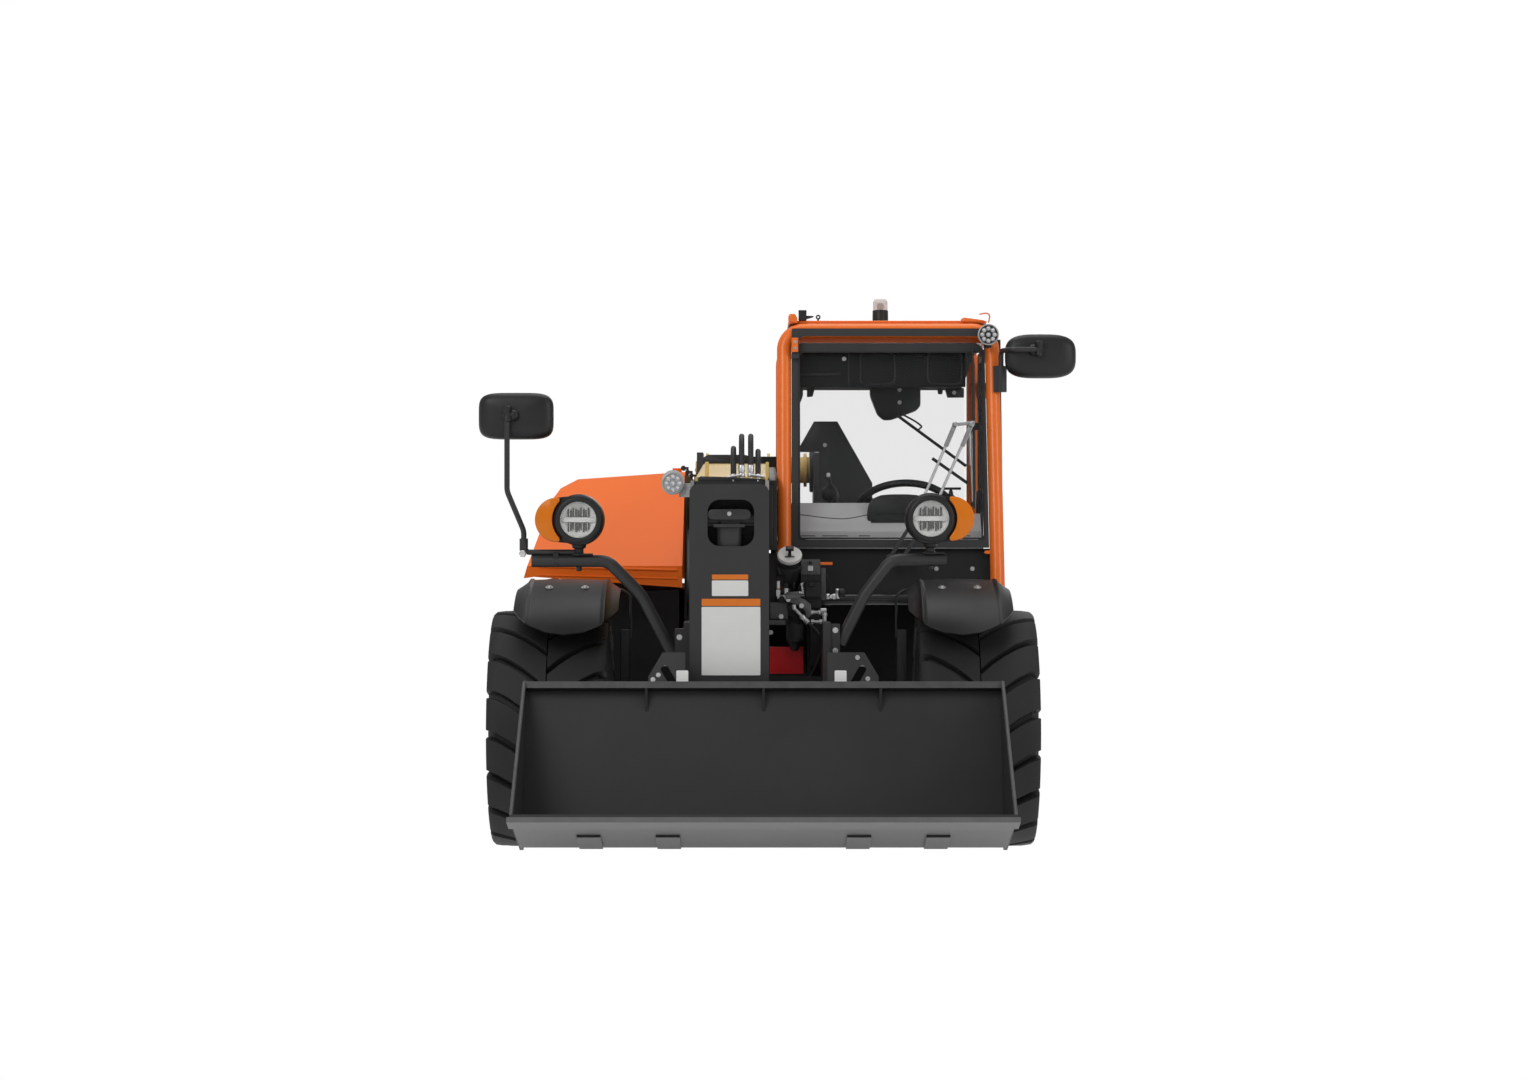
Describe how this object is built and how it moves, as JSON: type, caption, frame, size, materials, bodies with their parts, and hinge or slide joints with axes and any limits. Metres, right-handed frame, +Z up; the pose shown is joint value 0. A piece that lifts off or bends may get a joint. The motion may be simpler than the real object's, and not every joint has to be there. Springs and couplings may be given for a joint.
{
  "type": "compact telehandler",
  "caption": "Compact telescopic handler: side cab, offset two-stage boom with a bucket, opposite hood, steered wheels.",
  "frame": {"origin": "on the floor, in the middle of the parked machine's outline seen from above", "axes": "+Y towards the rear, +X towards the cab, +Z up; the bucket is at the -Y end"},
  "size_m": [2.022, 4.1843, 1.9316],
  "materials": {
    "orange_paint": "gloss",
    "hood_shell": "gloss moulded composite",
    "charcoal_paint": "satin",
    "cream_paint": "satin",
    "cast_iron": "painted",
    "engine": "one plain block",
    "black_plastic": "moulded",
    "grey_plastic": "moulded",
    "glass": "clear",
    "tyre": "black",
    "amber": "clear amber",
    "steel_rod": "ground rod",
    "edge_steel": "worn steel",
    "seat_cloth": "woven",
    "hose": "matt",
    "red_paint": "satin"
  },
  "bodies": {
    "chassis": {"chassis_plates": "charcoal_paint", "chassis_walls": "charcoal_paint", "axle_beams": "cast_iron", "counterweight": "cast_iron", "rear_fittings": "cast_iron", "engine_block": "engine", "side_decks": "charcoal_paint", "engine_wall": "charcoal_paint", "side_tank": "black_plastic", "cab_frame": "orange_paint", "cab_tub": "charcoal_paint", "cab_roof": "orange_paint", "cab_headliner": "black_plastic", "screen_frame": "charcoal_paint", "cab_glass": "glass", "dash_panel": "grey_plastic", "cab_controls": "black_plastic", "seat_base": "black_plastic", "seat_cushions": "seat_cloth", "guard_plate": "charcoal_paint", "lamp_arms": "charcoal_paint", "headlamp_housings": "black_plastic", "headlamp_lenses": "glass", "indicator_lenses": "amber", "mirror_arms": "charcoal_paint", "mirror_heads": "black_plastic", "cab_lamps": "black_plastic", "valve_group": "cast_iron", "battery_box": "red_paint"},
    "outer_boom": {"boom_outer": "cream_paint"},
    "inner_boom": {"boom_inner": "cream_paint", "boom_head": "charcoal_paint", "head_plate": "charcoal_paint", "boom_hoses": "hose", "boom_light": "grey_plastic"},
    "lift_barrel": {"lift_cylinder": "charcoal_paint"},
    "lift_piston": {"lift_rod": "steel_rod"},
    "tilt_barrel": {"tilt_cylinder": "charcoal_paint"},
    "tilt_piston": {"tilt_rod": "steel_rod"},
    "tool": {"coupler": "charcoal_paint", "bucket": "charcoal_paint", "cutting_edge": "edge_steel"},
    "door": {"door_frame": "charcoal_paint", "door_glass": "glass"},
    "hood": {"hood": "hood_shell"},
    "steering_wheel": {"steering_wheel": "black_plastic"},
    "knuckle_fl": {"knuckle_fl": "cast_iron", "mudguard_fl": "black_plastic"},
    "wheel_fl": {"tyre_fl": "tyre", "rim_fl": "charcoal_paint"},
    "knuckle_fr": {"knuckle_fr": "cast_iron", "mudguard_fr": "black_plastic"},
    "wheel_fr": {"tyre_fr": "tyre", "rim_fr": "charcoal_paint"},
    "knuckle_rl": {"knuckle_rl": "cast_iron"},
    "wheel_rl": {"tyre_rl": "tyre", "rim_rl": "charcoal_paint"},
    "knuckle_rr": {"knuckle_rr": "cast_iron"},
    "wheel_rr": {"tyre_rr": "tyre", "rim_rr": "charcoal_paint"}
  },
  "joints": [
    {"name": "steer_fl", "type": "hinge", "parent": "chassis", "child": "knuckle_fl", "pos_m": [0.486, -0.76005, 0.3935], "axis": [0, 0, 1], "range_deg": [-30, 30]},
    {"name": "roll_fl", "type": "hinge", "parent": "knuckle_fl", "child": "wheel_fl", "pos_m": [0.639, -0.76005, 0.3935], "axis": [1, 0, 0], "continuous": true},
    {"name": "steer_fr", "type": "hinge", "parent": "chassis", "child": "knuckle_fr", "pos_m": [-0.634, -0.76005, 0.3935], "axis": [0, 0, 1], "range_deg": [-30, 30]},
    {"name": "roll_fr", "type": "hinge", "parent": "knuckle_fr", "child": "wheel_fr", "pos_m": [-0.787, -0.76005, 0.3935], "axis": [1, 0, 0], "continuous": true},
    {"name": "steer_rl", "type": "hinge", "parent": "chassis", "child": "knuckle_rl", "pos_m": [0.486, 1.38995, 0.3935], "axis": [0, 0, 1], "range_deg": [-30, 30]},
    {"name": "roll_rl", "type": "hinge", "parent": "knuckle_rl", "child": "wheel_rl", "pos_m": [0.639, 1.38995, 0.3935], "axis": [1, 0, 0], "continuous": true},
    {"name": "steer_rr", "type": "hinge", "parent": "chassis", "child": "knuckle_rr", "pos_m": [-0.634, 1.38995, 0.3935], "axis": [0, 0, 1], "range_deg": [-30, 30]},
    {"name": "roll_rr", "type": "hinge", "parent": "knuckle_rr", "child": "wheel_rr", "pos_m": [-0.787, 1.38995, 0.3935], "axis": [1, 0, 0], "continuous": true},
    {"name": "boom_lift", "type": "hinge", "parent": "chassis", "child": "outer_boom", "pos_m": [-0.1805, 1.13995, 1.306], "axis": [-1, 0, 0], "range_deg": [0, 60]},
    {"name": "boom_extend", "type": "slide", "parent": "outer_boom", "child": "inner_boom", "axis": [0, -0.9986, -0.0523], "range_m": [0, 1.35]},
    {"name": "tool_tilt", "type": "hinge", "parent": "inner_boom", "child": "tool", "pos_m": [-0.1805, -1.35005, 0.28], "axis": [1, 0, 0], "range_deg": [-20, 85]},
    {"name": "lift_barrel_turn", "type": "hinge", "parent": "chassis", "child": "lift_barrel", "pos_m": [-0.1805, 0.83995, 0.4], "axis": [-1, 0, 0], "range_deg": [-1, 30]},
    {"name": "lift_stroke", "type": "slide", "parent": "lift_barrel", "child": "lift_piston", "axis": [0, -0.6752, 0.7377], "range_m": [-0.002, 0.8]},
    {"name": "tilt_barrel_turn", "type": "hinge", "parent": "inner_boom", "child": "tilt_barrel", "pos_m": [-0.1805, -1.26505, 1.095], "axis": [1, 0, 0], "range_deg": [-3, 8]},
    {"name": "tilt_stroke", "type": "slide", "parent": "tilt_barrel", "child": "tilt_piston", "axis": [0, -0.0051, -1], "range_m": [-0.2, 0.06]},
    {"name": "door_swing", "type": "hinge", "parent": "chassis", "child": "door", "pos_m": [0.766, 0.69195, 1.1], "axis": [0, 0, 1], "range_deg": [0, 100]},
    {"name": "hood_lift", "type": "hinge", "parent": "chassis", "child": "hood", "pos_m": [-0.366, 0.73995, 1.292], "axis": [0, 1, 0], "range_deg": [0, 55]},
    {"name": "steering_wheel_turn", "type": "hinge", "parent": "chassis", "child": "steering_wheel", "pos_m": [0.43, -0.12005, 1.135], "axis": [0, 0.5736, 0.8192], "continuous": true}
  ],
  "couplings": [
    {"joint": "steer_fr", "follows": "steer_fl", "ratio": 1},
    {"joint": "steer_rr", "follows": "steer_rl", "ratio": 1},
    {"joint": "lift_barrel_turn", "follows": "boom_lift", "ratio": 0.4558},
    {"joint": "lift_stroke", "follows": "boom_lift", "m_per_rad": 0.721},
    {"joint": "tilt_barrel_turn", "follows": "tool_tilt", "ratio": 0.0593},
    {"joint": "tilt_stroke", "follows": "tool_tilt", "m_per_rad": -0.11325}
  ]
}
